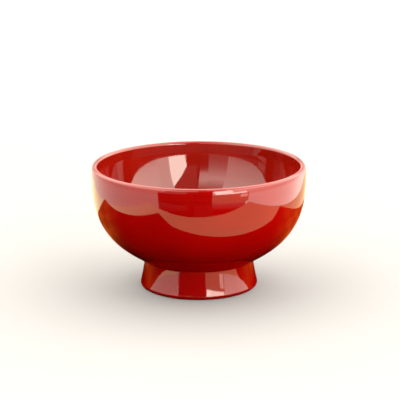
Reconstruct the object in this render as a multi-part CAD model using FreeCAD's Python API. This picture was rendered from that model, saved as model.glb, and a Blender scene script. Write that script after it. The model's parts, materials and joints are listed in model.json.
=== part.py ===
import FreeCAD, Part
import math
import os

# Lacquered rice bowl, turned in one piece with its foot ring.
#
# A hardwood core is strengthened with hemp cloth at the lip, in the well and round the
# foot. Ground coat levels the cloth, and red lacquer covers the ground. Every piece is a
# body of revolution about Z.
#
# Millimetres and degrees, +Z up. The origin is on the table, under the middle of the foot.

# Driving dimensions of the finished bowl.
WIDEST_DIAMETER = 120.0
HEIGHT = 69.5
LIP_ROUNDING = 1.6  # radius of the round lip, half the wall's thickness there

# Outside of the body, from the lip down. Each arc is (radius, slope at its lower end),
# with the slope from horizontal: over 90 leans in over the bowl, under 90 curves in
# underneath.
LIP_LEAN = 100.5
RIM_ARC = (21.0, 90.0)
WALL_TOP_ARC = (97.0, 86.0)
WALL_ARC = (97.0, 80.9)
SHOULDER_ARC = (39.3, 38.9)
BELLY_ARC = (69.0, 25.5)

# Inside of the body, from the middle of the well up. Each arc is (radius, slope at its
# upper end). The turn between the well and the wall gets whatever radius joins them.
WELL_ARC = (66.0, 25.0)
INSIDE_TURN_END = 72.0
INSIDE_WALL_ARC = (72.0, 82.0)
INSIDE_RIM_ARC = (8.5, 90.0)
INSIDE_PLUMB_HEIGHT = 4.0  # straight wall under the lip, inside

# Foot ring.
CREASE_ROUNDING = 0.9  # where the body meets the foot
FOOT_LEAN_TOP = 6.3  # the foot flares like a bell: its side leans out by this much at the crease
FOOT_LEAN_BASE = 14.3  # and by this much at the base
FOOT_EDGE_ROUNDING = 1.8
RECESS_EDGE_ROUNDING = 1.0
CONTACT_WIDTH = 2.3  # flat ring that stands on the table
RECESS_DRAFT = 4.0
RECESS_CORNER_ROUNDING = 2.6
RECESS_DEPTH = 9.0

# Thickness of each layer on the core.
LACQUER = 0.2
GROUND_OVER_CLOTH = 0.2
CLOTH = 0.25

UNDER_LACQUER = LACQUER
UNDER_GROUND = LACQUER + GROUND_OVER_CLOTH
CORE_DEPTH = UNDER_GROUND + CLOTH

AXIS_POINT = FreeCAD.Vector(0, 0, 0)
AXIS = FreeCAD.Vector(0, 0, 1)
FULL_TURN = 360.0


def point(radius, height):
    """A point of the half section, which lies in the XZ plane."""
    return FreeCAD.Vector(radius, 0, height)


def run(radius, start, end):
    """How far out an arc reaches as its slope goes from start to end."""
    return radius * (math.sin(math.radians(end)) - math.sin(math.radians(start)))


def rise(radius, start, end):
    """How far up an arc reaches as its slope goes from start to end."""
    return radius * (math.cos(math.radians(start)) - math.cos(math.radians(end)))


class Pen:
    """Walks round the half section with the bowl's material on its right.

    Each step is kept as a function of depth, so the same walk gives the surface at depth 0
    and every layer under it. Steps join smoothly, so an arc goes deeper by changing its
    radius and a line by moving sideways.
    """

    def __init__(self, radius, height, heading):
        self.place = point(radius, height)
        self.heading = heading
        self.steps = {}

    def ahead(self, heading):
        angle = math.radians(heading)
        return point(math.cos(angle), math.sin(angle))

    def right(self, heading):
        return self.ahead(heading - 90)

    def line(self, name, length):
        start = self.place
        end = start + self.ahead(self.heading) * length
        sideways = self.right(self.heading)

        def edge(depth):
            shift = sideways * depth
            return Part.LineSegment(start + shift, end + shift)

        self.steps[name] = edge
        self.place = end

    def arc(self, name, radius, heading):
        """Turns smoothly to a new heading: a smaller one is a right turn, round the material."""
        first = self.heading
        side = 1 if heading < first else -1
        centre = self.place + self.right(first) * (radius * side)

        def at(turned_to, depth):
            return centre - self.right(turned_to) * ((radius - side * depth) * side)

        def edge(depth):
            middle = (first + heading) / 2
            return Part.Arc(at(first, depth), at(middle, depth), at(heading, depth))

        self.steps[name] = edge
        self.place = at(heading, 0)
        self.heading = heading


def walk():
    """The whole half section, from the middle of the well over the lip to the recess's roof."""
    turn_radius = inside_turn_radius()
    well_height = HEIGHT - LIP_ROUNDING - INSIDE_PLUMB_HEIGHT
    for radius, start, end in inside_arcs(turn_radius):
        well_height -= rise(radius, start, end)

    pen = Pen(0, well_height, 0)
    pen.arc("well", *WELL_ARC)
    pen.arc("inside_turn", turn_radius, INSIDE_TURN_END)
    pen.arc("inside_wall", *INSIDE_WALL_ARC)
    pen.arc("inside_rim", *INSIDE_RIM_ARC)
    pen.line("inside_plumb", INSIDE_PLUMB_HEIGHT)
    pen.arc("lip_inside", LIP_ROUNDING, 0)

    pen.arc("lip_outside", LIP_ROUNDING, LIP_LEAN - 180)
    pen.arc("rim", RIM_ARC[0], RIM_ARC[1] - 180)
    pen.arc("wall_top", WALL_TOP_ARC[0], WALL_TOP_ARC[1] - 180)
    pen.arc("wall", WALL_ARC[0], WALL_ARC[1] - 180)
    pen.arc("shoulder", SHOULDER_ARC[0], SHOULDER_ARC[1] - 180)
    pen.arc("belly", BELLY_ARC[0], BELLY_ARC[1] - 180)
    pen.arc("crease", CREASE_ROUNDING, FOOT_LEAN_TOP - 90)
    pen.arc("foot_side", foot_side_radius(pen.place.z), FOOT_LEAN_BASE - 90)
    pen.arc("foot_edge", FOOT_EDGE_ROUNDING, -180)

    pen.line("contact", CONTACT_WIDTH)
    pen.arc("recess_edge", RECESS_EDGE_ROUNDING, -270 + RECESS_DRAFT)
    wall_height = RECESS_DEPTH - pen.place.z
    wall_height -= RECESS_CORNER_ROUNDING * (1 - math.sin(math.radians(RECESS_DRAFT)))
    pen.line("recess_wall", wall_height / math.cos(math.radians(RECESS_DRAFT)))
    pen.arc("recess_corner", RECESS_CORNER_ROUNDING, -180)
    pen.line("recess_roof", pen.place.x)
    return pen.steps


def inside_arcs(turn_radius):
    """The inside's arcs from the well up, each as its radius and its slopes at both ends."""
    return [
        (WELL_ARC[0], 0, WELL_ARC[1]),
        (turn_radius, WELL_ARC[1], INSIDE_TURN_END),
        (INSIDE_WALL_ARC[0], INSIDE_TURN_END, INSIDE_WALL_ARC[1]),
        (INSIDE_RIM_ARC[0], INSIDE_WALL_ARC[1], INSIDE_RIM_ARC[1]),
    ]


def inside_turn_radius():
    """The radius that joins the well to the inside wall, so that the lip lands in place."""
    gap = WIDEST_DIAMETER / 2 - run(RIM_ARC[0], LIP_LEAN, 90)
    gap -= run(LIP_ROUNDING, 180, LIP_LEAN) + LIP_ROUNDING
    for radius, start, end in inside_arcs(0):
        gap -= run(radius, start, end)
    return gap / run(1, WELL_ARC[1], INSIDE_TURN_END)


def foot_side_radius(crease_height):
    """The radius that brings the foot's side down to the edge that stands on the table."""
    edge_drop = rise(FOOT_EDGE_ROUNDING, 0, 90 + FOOT_LEAN_BASE)
    return (crease_height - edge_drop) / run(1, FOOT_LEAN_TOP, FOOT_LEAN_BASE)


INSIDE = ["well", "inside_turn", "inside_wall", "inside_rim", "inside_plumb", "lip_inside"]
OUTSIDE = ["lip_outside", "rim", "wall_top", "wall", "shoulder", "belly"]
OUTSIDE += ["crease", "foot_side"]
FOOT_RIM = ["foot_edge", "contact", "recess_edge"]
RECESS = ["recess_wall", "recess_corner", "recess_roof"]
WELL_CLOTH = ["well"]
RIM_CLOTH = ["inside_rim", "inside_plumb", "lip_inside", "lip_outside", "rim", "wall_top"]
FOOT_CLOTH = ["foot_side", "foot_edge", "contact", "recess_edge", "recess_wall"]
CLOTHED = WELL_CLOTH + RIM_CLOTH + FOOT_CLOTH


def chain(steps, names, depth_of):
    """Edges along the named steps, each at its own depth, with short jogs between depths."""
    edges = []
    for name in names:
        curve = steps[name](depth_of(name))
        if edges and edges[-1].EndPoint.distanceToPoint(curve.StartPoint) > 1e-6:
            edges.append(Part.LineSegment(edges[-1].EndPoint, curve.StartPoint))
        edges.append(curve)
    return edges


def turned(curves):
    """The solid made by turning a closed outline about the axis."""
    outline = Part.Wire(Part.__sortEdges__([curve.toShape() for curve in curves]))
    return Part.Face(outline).revolve(AXIS_POINT, AXIS, FULL_TURN)


def layer(steps, names, top, bottom_of):
    """A layer under the named steps, from depth top down to bottom_of(step)."""
    upper = chain(steps, names, lambda name: top)
    lower = chain(steps, names, bottom_of)
    start = Part.LineSegment(lower[0].StartPoint, upper[0].StartPoint)
    end = Part.LineSegment(upper[-1].EndPoint, lower[-1].EndPoint)
    return turned(upper + lower + [start, end])


def ground_bottom(name):
    return UNDER_GROUND if name in CLOTHED else CORE_DEPTH


def core(steps):
    """The turned wood, which is everything under the layers."""
    surface = chain(steps, INSIDE + OUTSIDE + FOOT_RIM + RECESS, lambda name: CORE_DEPTH)
    return turned(surface + [Part.LineSegment(surface[-1].EndPoint, surface[0].StartPoint)])


def lacquer(steps, names):
    return layer(steps, names, 0, lambda name: UNDER_LACQUER)


def ground(steps, names):
    return layer(steps, names, UNDER_LACQUER, ground_bottom)


def cloth(steps, names):
    return layer(steps, names, UNDER_GROUND, lambda name: CORE_DEPTH)


def pieces():
    steps = walk()
    return {
        "wood_core": core(steps),
        "rim_cloth": cloth(steps, RIM_CLOTH),
        "well_cloth": cloth(steps, WELL_CLOTH),
        "foot_cloth": cloth(steps, FOOT_CLOTH),
        "inner_ground": ground(steps, INSIDE),
        "outer_ground": ground(steps, OUTSIDE),
        "foot_ground": ground(steps, FOOT_RIM + RECESS),
        "inner_lacquer": lacquer(steps, INSIDE),
        "outer_lacquer": lacquer(steps, OUTSIDE),
        "foot_rim_lacquer": lacquer(steps, FOOT_RIM),
        "recess_lacquer": lacquer(steps, RECESS),
    }


def main():
    os.makedirs("parts", exist_ok=True)
    for name, solid in pieces().items():
        solid.exportStep("parts/" + name + ".step")
        box = solid.optimalBoundingBox(False)
        print(name, "valid", solid.isValid(), "solids", len(solid.Solids), end=" ")
        print("volume %.1f" % solid.Volume, "z %.3f to %.3f" % (box.ZMin, box.ZMax), end=" ")
        print("radius %.3f" % box.XMax)


main()
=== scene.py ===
import json
import math

import bpy
import numpy as np
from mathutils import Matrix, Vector

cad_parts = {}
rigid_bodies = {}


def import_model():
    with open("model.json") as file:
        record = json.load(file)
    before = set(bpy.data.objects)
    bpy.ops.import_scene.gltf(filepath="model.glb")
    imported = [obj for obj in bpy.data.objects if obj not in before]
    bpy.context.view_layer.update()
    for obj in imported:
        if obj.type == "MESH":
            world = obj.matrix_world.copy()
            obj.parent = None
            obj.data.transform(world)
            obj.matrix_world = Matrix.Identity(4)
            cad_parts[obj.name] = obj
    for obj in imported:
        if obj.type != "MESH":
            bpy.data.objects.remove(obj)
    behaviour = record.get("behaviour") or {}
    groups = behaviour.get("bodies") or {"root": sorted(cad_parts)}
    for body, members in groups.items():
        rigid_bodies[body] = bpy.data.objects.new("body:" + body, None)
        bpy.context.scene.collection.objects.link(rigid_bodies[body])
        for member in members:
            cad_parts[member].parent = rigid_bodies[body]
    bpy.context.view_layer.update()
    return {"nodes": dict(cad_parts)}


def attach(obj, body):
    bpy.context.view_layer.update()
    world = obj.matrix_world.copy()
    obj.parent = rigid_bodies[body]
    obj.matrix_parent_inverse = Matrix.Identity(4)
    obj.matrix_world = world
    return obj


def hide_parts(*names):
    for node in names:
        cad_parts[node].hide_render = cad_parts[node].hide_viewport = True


# A red lacquered rice bowl. The four coats of lacquer that can be seen are turned again here
# at high resolution from the sections of their CAD nodes. The wood, the cloth and the ground
# under them stay as the CAD nodes and get materials.

for leftover in list(bpy.data.objects):
    bpy.data.objects.remove(leftover)
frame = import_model()

MM = 0.001

# Turning the coats.
AROUND = 288  # faces round the bowl
STEP_LENGTH = 1.6 * MM  # longest face along the section
STEP_TURN = math.radians(2.5)  # most that the section turns within a face
ON_PLANE = 0.1e-6  # places this near each other, or this near the half plane, are on it
SAME_NORMAL = math.radians(0.3)  # normals this near each other are the same

# The lacquer's reds: deeper clouds, lighter clouds and brush streaks. The inside's reds are a
# little darker and browner: painted shade of the bowl's well.
OUTER_REDS = [(0.155, 0.0002, 0.0001), (0.180, 0.0004, 0.0002), (0.20, 0.0009, 0.0004)]
SHADED_INNER_REDS = [(0.150, 0.0024, 0.0007), (0.172, 0.0034, 0.0010), (0.19, 0.0050, 0.0018)]

# The lacquer's surface isn't quite true: it swells and dips a little from hand brushing.
WAVES = 18  # how many are added up
WAVE_LENGTHS = (15 * MM, 45 * MM)
WAVE_SLOPE = 0.0011  # steepness of one wave
WAVE_SEED = 7

# Camera, in metres and degrees, with its lens and sensor in millimetres.
CAMERA_DISTANCE = 0.9291
CAMERA_HEIGHT = 0.2889
CAMERA_ASIDE = 0.00073
CAMERA_DOWN = 14.5
CAMERA_ROLL = -0.176
CAMERA_LENS = 154.17
SENSOR = 36.0

FLOOR_SIZE = 14.0
FLOOR_COLOUR = (0.262, 0.265, 0.285)
FLOOR_MOTTLE = 9  # clouds to the metre
FLOOR_DARKER = 0.97  # the darker clouds' colour, as a share of the floor's
FLOOR_ROUGHNESS = 0.8
FLOOR_SHEEN = 0.2
BACKDROP_COLOUR = (1.0, 1.0, 0.95)

# The room round the bowl, which lights it and shows in its lacquer. Bearings are in degrees:
# azimuth 0 is towards the camera and grows to the camera's right.
WARMTH = (1.06, 1.0, 0.86)  # colour of the room's light
# Each sector is (azimuths, softness of its two edges, {elevation: brightness}), painted over
# the ones before it.
SECTORS = {
    "behind": (
        (-180, 180),
        (0, 0),
        {-20: 1.4, 0: 1.7, 10: 1.3, 20: 1.2, 32: 4.4, 60: 5.0, 90: 1.4},
    ),
    "left_wall": (
        (-152, -42),
        (14, 1),
        {-15: 1.9, -9: 2.0, -4: 1.7, 6: 1.9, 12: 2.9, 25: 4.2, 45: 5.4, 90: 1.8},
    ),
    "right_wall": (
        (50, 146),
        (1, 40),
        {-15: 3.8, -9: 4.1, -4: 3.0, 4: 3.6, 9: 4.6, 13: 5.3, 25: 5.8, 50: 5.2, 90: 1.4},
    ),
    "doorway": (
        (-42, -10),
        (1, 2),
        {-24: 0.0, -16: 0.2, 0: 0.6, 8: 0.75, 15: 1.6, 20: 2.8, 27: 4.2, 40: 1.6, 90: 1.4},
    ),
    "wall_over_doorway": (
        (-43, -35),
        (0.5, 1),
        {-24: 0.0, -16: 0.2, 0: 0.6, 2: 0.7, 3: 1.8, 12: 2.9, 25: 4.2, 45: 5.4, 90: 1.8},
    ),
    "camera_side": (
        (-12, 15),
        (2, 2),
        {-25: 0.0, 14: 0.1, 18: 0.6, 22: 3.4, 30: 4.2, 42: 1.0, 90: 1.4},
    ),
    "window_wall": ((14, 50.5), (2, 1), {-22: 0.0, -18: 0.5, -8: 4.4, 20: 5.2, 35: 5.5, 90: 1.4}),
}
# Each patch is (corners as azimuth and elevation, brightness). It's convex, and its corners
# go clockwise on a chart with azimuth to the right and elevation up.
PATCHES = {
    "pillar": ([(-6, -30), (-2, 15), (2, 50), (15, 50), (14, -30)], 0.05),
    "lintel": ([(2, 14), (2, 50), (37, 50), (35, 36), (14, 14)], 0.35),
    "window": ([(19.5, -8), (14, 14), (33, 34), (35.5, 36), (35.5, -8)], 13.0),
}
PATCH_EDGE = 1.0  # a patch's edge fades over this many degrees

# Upright glowing sheets in front of the table, each (bearings of its ends, distance, heights,
# brightness): the window's sill, the bright strip on it, the window's frame in front of the
# sill, and a dark ledge beside it. Their glow and the ledge's dark are painted reflections,
# seen only in the lacquer's gloss.
SILL_DISTANCE = 0.437
FRAME_DISTANCE = 0.40
SHEETS = {
    "sill": ((13, 50.2), SILL_DISTANCE, (-50 * MM, 50 * MM), (1.4, 1.1, 0.65)),
    "bright_strip": ((21.5, 48), SILL_DISTANCE, (50 * MM, 76 * MM), (11.5, 11.0, 9.6)),
    "frame": ((41, 48.5), FRAME_DISTANCE, (-12 * MM, 36 * MM), (5.0, 4.2, 3.4)),
    "ledge": ((-39.3, 13), SILL_DISTANCE, (-50 * MM, 68 * MM), (0.05, 0.03, 0.02)),
}

# The table under the bowl, as its lacquer shows it: a glowing pale top with a woven mat on it.
# Their glow is painted light: the top is brighter on the left, and the mat is lit behind the
# bowl and dark with painted shade in front of it and near its foot. The floor that the camera
# sees lies just over both.
TABLE_CORNERS = [(-0.191, -0.169), (0.192, -0.169), (0.192, 0.42), (-0.191, 0.42)]
TABLE_DEPTH = 1.2 * MM
# The top's glow, brighter on the left than on the right: painted light.
TABLE_GLOW_LEFT = (2.6, 2.3, 1.4)
TABLE_GLOW_RIGHT = (1.75, 1.45, 0.78)
TABLE_CHANGE = (-0.17, -0.06)  # the left brightness changes to the right one between these X
MAT_CORNERS = [(-0.110, -0.148), (0.188, -0.017), (0.092, 0.192), (-0.203, 0.061)]
MAT_DEPTH = 0.6 * MM
MAT_ANGLE = math.radians(23.7)
MAT_STRIP = 32 * MM
# The mat's glow in its painted shade and where it is lit: painted light and shade.
MAT_SHADE = (0.012, 0.003, 0.001)
MAT_LIT = (0.78, 0.17, 0.02)
MAT_WEAVE = 0.6  # how much of the light the lower strips give
MAT_NEAR = (0.05, 0.095)  # the bowl's shade on the mat ends between these distances
MAT_LIGHT = (-0.03, 0.03)  # the mat goes from dark to lit between these Y


# Sections of the CAD nodes


def corner(mesh, vertex, loop):
    """A face's corner: its place, and the angle of its normal in the half plane."""
    place = mesh.vertices[vertex].co
    normal = mesh.corner_normals[loop].vector
    return place, math.atan2(normal.z, normal.x)


def on_half_plane(place):
    return abs(place.y) < ON_PLANE and place.x > -ON_PLANE


def key(place):
    return round(place.x / ON_PLANE), round(place.z / ON_PLANE)


def section_edges(mesh):
    """The mesh's edges in the half plane, each from one end to the other with the outside on
    its left: {start: (end, normal at the start, normal at the end)}."""
    edges = {}
    for face in mesh.polygons:
        corners = [corner(mesh, v, i) for v, i in zip(face.vertices, face.loop_indices)]
        if sum(place.y for place, _ in corners) <= 0:
            continue
        for (a, normal_a), (b, normal_b) in zip(corners, corners[1:] + corners[:1]):
            if on_half_plane(a) and on_half_plane(b):
                edges[key(a)] = (key(b), normal_a, normal_b)
    return edges


def apart(a, b):
    return abs(math.remainder(a - b, math.tau)) > SAME_NORMAL


def section_runs(node):
    """The node's section as runs of points. A run is one arc or one straight line."""
    edges = section_edges(frame["nodes"][node].data)
    ends = {end for end, _, _ in edges.values()}
    arrives = {end: normal for end, _, normal in edges.values()}
    starts = [p for p in edges if p not in ends]
    starts += [p for p in edges if p in ends and apart(arrives[p], edges[p][1])]
    point = starts[0]
    runs = []
    last_normal = None
    for _ in range(len(edges)):
        end, normal, end_normal = edges[point]
        if last_normal is None or apart(last_normal, normal):
            runs.append([point])
        runs[-1].append(end)
        point, last_normal = end, end_normal
    runs = [np.array(run, float) * ON_PLANE for run in runs]
    return with_discs(runs)


def with_discs(runs):
    """An open section's ends joined to the axis: a flat disc has no edge in the half plane."""
    first, last = runs[0][0], runs[-1][-1]
    if np.array_equal(first, last):
        return runs
    if first[0] > 0:
        runs.insert(0, np.array([[0, first[1]], first]))
    if last[0] > 0:
        runs.append(np.array([last, [0, last[1]]]))
    return runs


def circle_through(a, b, c):
    """Centre of the circle through three points of the half plane."""
    rows = np.array([b - a, c - b]) * 2
    return np.linalg.solve(rows, [b @ b - a @ a, c @ c - b @ b])


def left_of(way):
    return np.array([-way[1], way[0]]) / np.hypot(*way)


def sampled(run):
    """A run as evenly spaced points, and the outward normal at each."""
    first, last = run[0], run[-1]
    length = np.hypot(*(np.diff(run, axis=0).T)).sum()
    if len(run) == 2:
        steps = max(1, math.ceil(length / STEP_LENGTH))
        along = np.linspace(0, 1, steps + 1)[:, None]
        return first + along * (last - first), np.tile(left_of(last - first), (steps + 1, 1))
    centre = circle_through(first, run[len(run) // 2], last)
    start, end = (math.atan2(*(p - centre)[::-1]) for p in (first, last))
    turn = math.remainder(end - start, math.tau)
    steps = max(1, math.ceil(length / STEP_LENGTH), math.ceil(abs(turn) / STEP_TURN))
    angles = start + turn * np.linspace(0, 1, steps + 1)
    outward = np.stack([np.cos(angles), np.sin(angles)], 1)
    points = centre + outward * np.hypot(*(first - centre))
    points[0], points[-1] = first, last
    return points, outward * (-1 if turn > 0 else 1)


# The hand-made surface


class Waves:
    """Gentle swells over the lacquer, as a height at each place and its slope."""

    def __init__(self):
        draw = np.random.default_rng(WAVE_SEED)
        ways = draw.normal(size=(WAVES, 3))
        ways /= np.linalg.norm(ways, axis=1)[:, None]
        lengths = draw.uniform(*WAVE_LENGTHS, WAVES)
        self.waves = ways * (math.tau / lengths)[:, None]
        self.heights = WAVE_SLOPE * lengths / math.tau
        self.phases = draw.uniform(0, math.tau, WAVES)

    def height(self, places):
        return np.sin(places @ self.waves.T + self.phases) @ self.heights

    def slope(self, places):
        steepness = np.cos(places @ self.waves.T + self.phases) * self.heights
        return steepness @ self.waves


WAVES_OVER_BOWL = Waves()


def unit(vectors):
    return vectors / np.linalg.norm(vectors, axis=-1, keepdims=True)


def around(radii, heights):
    """Half-plane points or directions turned to every angle: an array (points, AROUND, 3)."""
    angles = np.arange(AROUND) * math.tau / AROUND
    x = radii[:, None] * np.cos(angles)
    y = radii[:, None] * np.sin(angles)
    return np.stack([x, y, np.broadcast_to(heights[:, None], x.shape)], 2)


def waved(places, normals):
    """Places pushed out by the waves, and the normals tilted to match."""
    flat, facing = places.reshape(-1, 3), normals.reshape(-1, 3)
    moved = flat + facing * WAVES_OVER_BOWL.height(flat)[:, None]
    slope = WAVES_OVER_BOWL.slope(flat)
    slope -= facing * (slope * facing).sum(1)[:, None]
    return moved.reshape(places.shape), unit(facing - slope).reshape(places.shape)


def turned(name, node):
    """A new closed shell: the node's section turned about Z, with exact normals."""
    places, faces, normals = [], [], []
    ring_start = {}

    def ring(point, normal):
        """Index of the point's first vertex, and how far apart its vertices are."""
        label = tuple(np.round(point / ON_PLANE).astype(int))
        if label not in ring_start:
            ring_start[label] = len(places)
            whole = around(point[:1], point[1:])
            facing = around(normal[:1], normal[1:])
            moved = waved(whole, facing)[0][0]
            places.extend(moved[:1] if label[0] == 0 else moved)
        return ring_start[label], 0 if label[0] == 0 else 1

    for run in section_runs(node):
        points, outward = sampled(run)
        tilted = waved(
            around(points[:, 0], points[:, 1]), around(outward[:, 0], outward[:, 1])
        )[1]
        rings = [ring(p, n) for p, n in zip(points, outward)]
        for (a, step_a), (b, step_b), at_a, at_b in zip(rings, rings[1:], tilted, tilted[1:]):
            for i in range(AROUND):
                j = (i + 1) % AROUND
                loop = [
                    (a + i * step_a, at_a[i]),
                    (a + j * step_a, at_a[j]),
                    (b + j * step_b, at_b[j]),
                    (b + i * step_b, at_b[i]),
                ]
                if not step_a:
                    loop.pop(0)
                if not step_b:
                    loop.pop()
                loop.reverse()
                faces.append([index for index, _ in loop])
                normals.extend(normal for _, normal in loop)

    mesh = bpy.data.meshes.new(name)
    mesh.from_pydata(np.array(places).tolist(), [], faces)
    mesh.polygons.foreach_set("use_smooth", [True] * len(mesh.polygons))
    mesh.normals_split_custom_set(np.array(normals).tolist())
    piece = bpy.data.objects.new(name, mesh)
    bpy.context.scene.collection.objects.link(piece)
    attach(piece, "root")
    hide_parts(node)
    return piece


# Materials


class Shader:
    """A material's node tree, with its principled shader."""

    def __init__(self, name):
        self.material = bpy.data.materials.new(name)
        self.material.use_nodes = True
        self.tree = self.material.node_tree
        self.surface = self.tree.nodes["Principled BSDF"]
        self.place = self.add("TexCoord").outputs["Object"]

    def add(self, kind, **settings):
        node = self.tree.nodes.new("ShaderNode" + kind)
        for setting, value in settings.items():
            setattr(node, setting, value)
        return node

    def link(self, source, target):
        self.tree.links.new(source, target)

    def fill(self, node, **values):
        for name, value in values.items():
            socket = node.inputs[name.replace("_", " ")]
            if isinstance(value, bpy.types.NodeSocket):
                self.link(value, socket)
            else:
                socket.default_value = value
        return node

    def set(self, name, value):
        socket = self.surface.inputs[name]
        if isinstance(value, bpy.types.NodeSocket):
            self.link(value, socket)
        else:
            socket.default_value = value

    def axes(self):
        """The place's three coordinates."""
        return self.fill(self.add("SeparateXYZ"), Vector=self.place).outputs

    def stretched(self, x, y, z):
        """The place with each axis scaled, so that a pattern is longer one way."""
        node = self.fill(self.add("Mapping"), Vector=self.place, Scale=(x, y, z))
        return node.outputs["Vector"]

    def noise(self, scale, detail=2.0, roughness=0.5, vector=None):
        node = self.add("TexNoise")
        self.fill(node, Vector=vector or self.place, Scale=scale, Detail=detail)
        return self.fill(node, Roughness=roughness).outputs["Fac"]

    def ramp(self, value, low, high, to_low=0.0, to_high=1.0):
        node = self.add("MapRange", interpolation_type="SMOOTHSTEP")
        self.fill(node, Value=value, From_Min=low, From_Max=high)
        return self.fill(node, To_Min=to_low, To_Max=to_high).outputs["Result"]

    def maths(self, operation, a, b=0.0):
        node = self.add("Math", operation=operation)
        for socket, value in zip(node.inputs, (a, b)):
            if isinstance(value, bpy.types.NodeSocket):
                self.link(value, socket)
            else:
                socket.default_value = value
        return node.outputs[0]

    def blend(self, amount, first, second):
        """A colour between two colours. The node's sockets for colours are 6 and 7, and 2 out."""
        node = self.add("Mix", data_type="RGBA")
        sockets = (node.inputs[0], node.inputs[6], node.inputs[7])
        for socket, value in zip(sockets, (amount, first, second)):
            if isinstance(value, bpy.types.NodeSocket):
                self.link(value, socket)
            else:
                socket.default_value = (*value, 1) if isinstance(value, tuple) else value
        return node.outputs[2]

    def bump(self, height, depth, below=None):
        node = self.fill(self.add("Bump"), Strength=1.0, Distance=depth, Height=height)
        if below:
            self.link(below, node.inputs["Normal"])
        return node.outputs["Normal"]


# Lacquer. Patterns are in repeats to the metre, along each axis where there are three.
CLOUDS = 38
CLOUD_EDGE = (0.3, 0.7)
STREAKS = (42, 42, 900)
STREAK_EDGE = (0.42, 0.66)
MOST_STREAKED = 0.35  # share of the streaks' red where they are strongest
STREAK_DEPTH = 0.0022 * MM
SPECKS = 190
SPECK_EDGE = (0.035, 0.09)
SPECK_DEPTH = 0.004 * MM
SCRATCHES = (900, 900, 260)
SCRATCH_EDGE = (0.54, 0.7)
SCUFFED_RED = (0.22, 0.016, 0.012)
SCUFF_ROUGHNESS = 0.3
GLOSS_CLOUDS = 120
GLOSS_EDGE = (0.35, 0.75)
LEAST_ROUGH, MOST_ROUGH = 0.7, 1.5  # times the coat's roughness
LACQUER_IOR = 1.54
POLISHED, RUBBED = 0.035, 0.16  # roughness
FEW_SCUFFS, MANY_SCUFFS = 0.03, 0.5


def lacquer(name, reds, roughness, scuffing):
    """Red lacquer with brush streaks, dust specks and scuffs. The reds are for the deeper
    clouds, the lighter ones and the streaks."""
    s = Shader(name)
    deep, light, streaked = reds
    cloudy = s.ramp(s.noise(CLOUDS, detail=3), *CLOUD_EDGE)
    streaks = s.noise(1, detail=4, roughness=0.62, vector=s.stretched(*STREAKS))
    red = s.blend(cloudy, deep, light)
    red = s.blend(s.ramp(streaks, *STREAK_EDGE, 0, MOST_STREAKED), red, streaked)
    specks = s.fill(s.add("TexVoronoi", feature="F1"), Vector=s.place, Scale=SPECKS)
    speck = s.ramp(specks.outputs["Distance"], *SPECK_EDGE, 1, 0)
    scratch = s.noise(1, detail=6, roughness=0.7, vector=s.stretched(*SCRATCHES))
    scuffed = s.ramp(scratch, *SCRATCH_EDGE, 0, scuffing)
    s.set("Base Color", s.blend(scuffed, red, SCUFFED_RED))
    rough = (roughness * LEAST_ROUGH, roughness * MOST_ROUGH)
    gloss = s.ramp(s.noise(GLOSS_CLOUDS, detail=4), *GLOSS_EDGE, *rough)
    s.set("Roughness", s.maths("ADD", gloss, s.maths("MULTIPLY", scuffed, SCUFF_ROUGHNESS)))
    s.set("IOR", LACQUER_IOR)
    brushed = s.bump(streaks, STREAK_DEPTH)
    s.set("Normal", s.bump(speck, SPECK_DEPTH, brushed))
    return s.material


# Wood
PITH_AWAY = 90 * MM  # the pith runs along X, this far in front of the bowl
RING_WANDER = 12 * MM
WANDERS = 16  # to the metre
RINGS = 420  # to the metre
LATE_WOOD = (0.55, 0.98)  # a ring darkens over this stretch of its width
PORES = (160, 1500, 1500)
PORE_EDGE = (0.55, 0.7)
PORE_DEPTH = 0.05 * MM
EARLY_WOOD_COLOUR = (0.44, 0.25, 0.11)
LATE_WOOD_COLOUR = (0.27, 0.13, 0.05)
PORE_COLOUR = (0.16, 0.075, 0.03)
WOOD_ROUGHNESS = (0.5, 0.75)


def turned_wood():
    """Zelkova with growth rings about a pith outside the bowl, and fine open pores."""
    s = Shader("turned_wood")
    _, y, z = s.axes()
    wander = s.maths("MULTIPLY", s.noise(WANDERS, detail=3), RING_WANDER)
    across = s.maths("ADD", y, PITH_AWAY)
    up = s.maths("ADD", z, wander)
    far = s.maths("SQRT", s.maths("ADD", s.maths("POWER", across, 2), s.maths("POWER", up, 2)))
    late = s.ramp(s.maths("FRACT", s.maths("MULTIPLY", far, RINGS)), *LATE_WOOD)
    pores = s.ramp(s.noise(1, detail=5, vector=s.stretched(*PORES)), *PORE_EDGE)
    wood = s.blend(late, EARLY_WOOD_COLOUR, LATE_WOOD_COLOUR)
    s.set("Base Color", s.blend(pores, wood, PORE_COLOUR))
    s.set("Roughness", s.ramp(pores, 0, 1, *WOOD_ROUGHNESS))
    s.set("Normal", s.bump(pores, -PORE_DEPTH))
    return s.material


# Hemp cloth
THREAD_WAYS = ((1, 0, 0.9), (0, 1, -0.9))
WEAVE_SCALE = 225.0  # sets the threads 1.4 mm apart along X and Y
WEAVE_WOBBLE = 0.6
THREAD_EDGE = (0.1, 0.6)
THREAD_DEPTH = 0.12 * MM
YARN_COLOURS = ((0.36, 0.26, 0.14), (0.52, 0.41, 0.25))
YARN_PATCHES = 300  # to the metre
BETWEEN_THREADS = (0.12, 0.08, 0.045)
CLOTH_ROUGHNESS = (0.6, 0.85)


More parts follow.
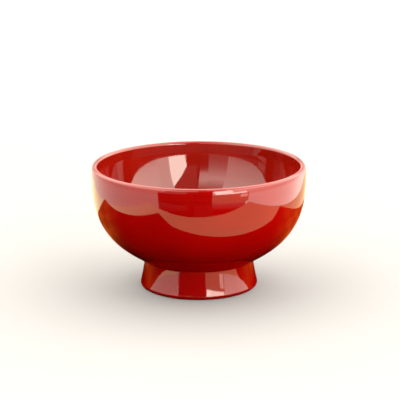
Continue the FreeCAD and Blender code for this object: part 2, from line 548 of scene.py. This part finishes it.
def hemp_cloth():
    """Plain weave of about 7 threads to the centimetre, stiff with lacquer."""
    s = Shader("hemp_cloth")
    threads = []
    for way in THREAD_WAYS:
        turned_to = s.add("VectorMath", operation="DOT_PRODUCT")
        s.link(s.place, turned_to.inputs[0])
        turned_to.inputs[1].default_value = way
        line = s.fill(s.add("CombineXYZ"), X=turned_to.outputs["Value"])
        wave = s.add("TexWave", wave_type="BANDS", bands_direction="X")
        s.fill(wave, Vector=line.outputs[0], Scale=WEAVE_SCALE, Distortion=WEAVE_WOBBLE)
        threads.append(wave.outputs["Fac"])
    weave = s.maths("MAXIMUM", *threads)
    yarn = s.blend(s.noise(YARN_PATCHES, detail=3), *YARN_COLOURS)
    s.set("Base Color", s.blend(s.ramp(weave, *THREAD_EDGE), BETWEEN_THREADS, yarn))
    s.set("Roughness", s.ramp(weave, 0, 1, *CLOTH_ROUGHNESS))
    s.set("Normal", s.bump(weave, THREAD_DEPTH))
    return s.material


# Ground
GRAINS = 1400  # to the metre
GRAIN_EDGE = (0.5, 0.75)
GRAIN_DEPTH = 0.03 * MM
EARTH_COLOURS = ((0.035, 0.024, 0.018), (0.075, 0.052, 0.038))
EARTH_PATCHES = 60  # to the metre
GRAIN_COLOUR = (0.14, 0.1, 0.07)
GRAIN_SPREAD = (0.3, 0.7)
GROUND_ROUGHNESS = (0.7, 0.92)


def ground_coat():
    """Dark mineral ground, rubbed level, with pale grains."""
    s = Shader("ground_coat")
    grains = s.noise(GRAINS, detail=4, roughness=0.65)
    earth = s.blend(s.noise(EARTH_PATCHES, detail=3), *EARTH_COLOURS)
    s.set("Base Color", s.blend(s.ramp(grains, *GRAIN_EDGE), earth, GRAIN_COLOUR))
    s.set("Roughness", s.ramp(grains, *GRAIN_SPREAD, *GROUND_ROUGHNESS))
    s.set("Normal", s.bump(grains, GRAIN_DEPTH))
    return s.material


def dress(objects, material):
    for piece in objects:
        piece.data.materials.clear()
        piece.data.materials.append(material)


def floor_material():
    s = Shader("pale_floor")
    darker = tuple(part * FLOOR_DARKER for part in FLOOR_COLOUR)
    s.set("Base Color", s.blend(s.noise(FLOOR_MOTTLE, detail=5), FLOOR_COLOUR, darker))
    s.set("Roughness", FLOOR_ROUGHNESS)
    s.set("Specular IOR Level", FLOOR_SHEEN)
    return s.material


# Stage, light and camera


def flat_piece(name, corners, material):
    """A flat piece of the stage."""
    mesh = bpy.data.meshes.new(name)
    mesh.from_pydata(corners, [], [range(len(corners))])
    mesh.materials.append(material)
    piece = bpy.data.objects.new(name, mesh)
    bpy.context.scene.collection.objects.link(piece)
    return piece


def laid(corners, depth):
    return [(x, y, -depth) for x, y in corners]


def upright(azimuths, heights, distance):
    """Corners of an upright sheet between two bearings."""
    feet = [towards(azimuth, 0) * distance for azimuth in azimuths]
    low, high = heights
    (ax, ay, _), (bx, by, _) = feet
    return [(ax, ay, low), (bx, by, low), (bx, by, high), (ax, ay, high)]


def floor():
    """A pale floor that only the camera sees."""
    half = FLOOR_SIZE / 2
    corners = [(-half, -half), (half, -half), (half, half), (-half, half)]
    piece = flat_piece("floor", laid(corners, 0), floor_material())
    piece.visible_glossy = piece.visible_diffuse = piece.visible_shadow = False


def glowing(name):
    """A shader that only gives out light."""
    s = Shader(name)
    s.set("Base Color", (0, 0, 0, 1))
    s.set("Specular IOR Level", 0.0)
    s.set("Emission Strength", 1.0)
    return s


def table_top():
    s = glowing("table_top")
    x, _, _ = s.axes()
    # The top glows, brighter on the left: painted light.
    s.set("Emission Color", s.blend(s.ramp(x, *TABLE_CHANGE), TABLE_GLOW_LEFT, TABLE_GLOW_RIGHT))
    return s.material


def woven_mat():
    """A glowing mat of crossing strips, with painted light from the bowl's middle backwards
    and painted shade near its foot.
    """
    s = glowing("woven_mat")
    _, y, _ = s.axes()
    away = s.add("VectorMath", operation="LENGTH")
    s.link(s.place, away.inputs[0])
    # Painted shade of the bowl near its foot, and painted light behind the bowl.
    clear = s.ramp(away.outputs["Value"], *MAT_NEAR)
    light = s.maths("MULTIPLY", s.ramp(y, *MAT_LIGHT), clear)
    squared = s.fill(s.add("Mapping"), Vector=s.place, Rotation=(0, 0, -MAT_ANGLE))
    weave = s.add("TexChecker")
    s.fill(weave, Vector=squared.outputs["Vector"], Scale=1 / MAT_STRIP)
    strips = s.ramp(weave.outputs["Fac"], 0, 1, MAT_WEAVE, 1)
    s.set("Emission Color", s.blend(s.maths("MULTIPLY", light, strips), MAT_SHADE, MAT_LIT))
    return s.material


def bright(name, colour):
    s = glowing(name)
    s.set("Emission Color", (*colour, 1))
    return s.material


def furniture():
    """The glowing table, mat and upright sheets, seen only in the lacquer: painted light."""
    pieces = [
        flat_piece("table_top", laid(TABLE_CORNERS, TABLE_DEPTH), table_top()),
        flat_piece("woven_mat", laid(MAT_CORNERS, MAT_DEPTH), woven_mat()),
    ]
    for name, (azimuths, distance, heights, colour) in SHEETS.items():
        corners = upright(azimuths, heights, distance)
        sheet = flat_piece(name, corners, bright(name, colour))
        # The sheets glow only for the gloss: painted reflections of the window and the ledge.
        sheet.visible_shadow = sheet.visible_diffuse = False
        pieces.append(sheet)
    for piece in pieces:
        piece.visible_camera = False


def towards(azimuth, elevation):
    """Unit vector from the bowl at a bearing and elevation."""
    az, el = math.radians(azimuth), math.radians(elevation)
    return Vector((math.sin(az) * math.cos(el), -math.cos(az) * math.cos(el), math.sin(el)))


class Sky(Shader):
    """The world's node tree, which paints sectors and patches by direction."""

    def __init__(self):
        world = bpy.data.worlds.new("room")
        world.use_nodes = True
        bpy.context.scene.world = world
        self.tree = world.node_tree
        self.surface = self.tree.nodes["Background"]
        self.place = self.add("TexCoord").outputs["Generated"]
        x, y, z = self.axes()
        to_degrees = 180 / math.pi
        bearing = self.maths("ARCTAN2", x, self.maths("MULTIPLY", y, -1))
        self.azimuth = self.maths("MULTIPLY", bearing, to_degrees)
        self.elevation = self.maths("MULTIPLY", self.maths("ARCSINE", z), to_degrees)

    def profile(self, levels):
        """Brightness by elevation."""
        most = max(levels.values())
        ramp = self.add("ValToRGB")
        self.link(self.ramp_linear(self.elevation, -90, 90), ramp.inputs["Fac"])
        stops = ramp.color_ramp.elements
        while len(stops) < len(levels):
            stops.new(0.5)
        for stop, elevation in zip(stops, levels):
            stop.position = (elevation + 90) / 180
        for stop, level in zip(stops, levels.values()):
            stop.color = (*(level / most * tint / max(WARMTH) for tint in WARMTH), 1)
        return self.scaled(ramp.outputs["Color"], most * max(WARMTH))

    def ramp_linear(self, value, low, high):
        node = self.fill(self.add("MapRange"), Value=value, From_Min=low, From_Max=high)
        return node.outputs["Result"]

    def scaled(self, colour, factor):
        node = self.add("VectorMath", operation="SCALE")
        self.link(colour, node.inputs[0])
        node.inputs["Scale"].default_value = factor
        return node.outputs["Vector"]

    def sector(self, under, azimuths, softness, levels):
        low, high = azimuths
        colour = self.profile(levels)
        if high - low >= 360:
            return colour
        middle = (low + high) / 2
        turned_by = self.add("Math", operation="WRAP")
        self.link(self.maths("SUBTRACT", self.azimuth, middle), turned_by.inputs[0])
        turned_by.inputs[1].default_value, turned_by.inputs[2].default_value = 180, -180
        aside, half = turned_by.outputs[0], (high - low) / 2
        rising = self.ramp(aside, -half - softness[0] / 2, -half + softness[0] / 2)
        falling = self.ramp(aside, half - softness[1] / 2, half + softness[1] / 2, 1, 0)
        return self.blend(self.maths("MULTIPLY", rising, falling), under, colour)

    def patch(self, under, corners, brightness):
        bearings = [towards(*place) for place in corners]
        soft = math.sin(math.radians(PATCH_EDGE / 2))
        mask = 1.0
        for a, b in zip(bearings, bearings[1:] + bearings[:1]):
            inward = b.cross(a).normalized()
            node = self.add("VectorMath", operation="DOT_PRODUCT")
            self.link(self.place, node.inputs[0])
            node.inputs[1].default_value = inward
            mask = self.maths("MULTIPLY", self.ramp(node.outputs["Value"], -soft, soft), mask)
        return self.blend(mask, under, tuple(brightness * tint for tint in WARMTH))


def surroundings():
    sky = Sky()
    colour = None
    for azimuths, softness, levels in SECTORS.values():
        colour = sky.sector(colour, azimuths, softness, levels)
    for corners, brightness in PATCHES.values():
        colour = sky.patch(colour, corners, brightness)
    seen = sky.add("LightPath").outputs["Is Camera Ray"]
    sky.set("Color", sky.blend(seen, colour, BACKDROP_COLOUR))


def camera():
    data = bpy.data.cameras.new("camera")
    data.sensor_width = SENSOR
    data.lens = CAMERA_LENS
    eye = bpy.data.objects.new("camera", data)
    eye.location = (CAMERA_ASIDE, -CAMERA_DISTANCE, CAMERA_HEIGHT)
    eye.rotation_mode = "ZYX"
    eye.rotation_euler = (math.radians(90 - CAMERA_DOWN), 0, math.radians(CAMERA_ROLL))
    bpy.context.scene.collection.objects.link(eye)
    bpy.context.scene.camera = eye


def colours_as_seen():
    view = bpy.context.scene.view_settings
    view.view_transform = "Standard"
    view.exposure = 0


def main():
    gloss = lacquer("red_lacquer", OUTER_REDS, POLISHED, FEW_SCUFFS)
    # The inside's darker, browner reds are painted shade of the well.
    inside = lacquer("red_lacquer_inside_shaded", SHADED_INNER_REDS, POLISHED, FEW_SCUFFS)
    worn = lacquer("red_lacquer_worn", OUTER_REDS, RUBBED, MANY_SCUFFS)
    coats = {
        "inner_coat": ("inner_lacquer", inside),
        "outer_coat": ("outer_lacquer", gloss),
        "foot_rim_coat": ("foot_rim_lacquer", worn),
        "recess_coat": ("recess_lacquer", gloss),
    }
    for name, (node, material) in coats.items():
        piece = turned(name, node)
        piece.data.materials.append(material)
    nodes = frame["nodes"]
    dress([nodes["wood_core"]], turned_wood())
    dress([nodes[n] for n in ("rim_cloth", "well_cloth", "foot_cloth")], hemp_cloth())
    dress([nodes[n] for n in ("inner_ground", "outer_ground", "foot_ground")], ground_coat())
    floor()
    furniture()
    surroundings()
    camera()
    colours_as_seen()


main()
bpy.context.view_layer.update()
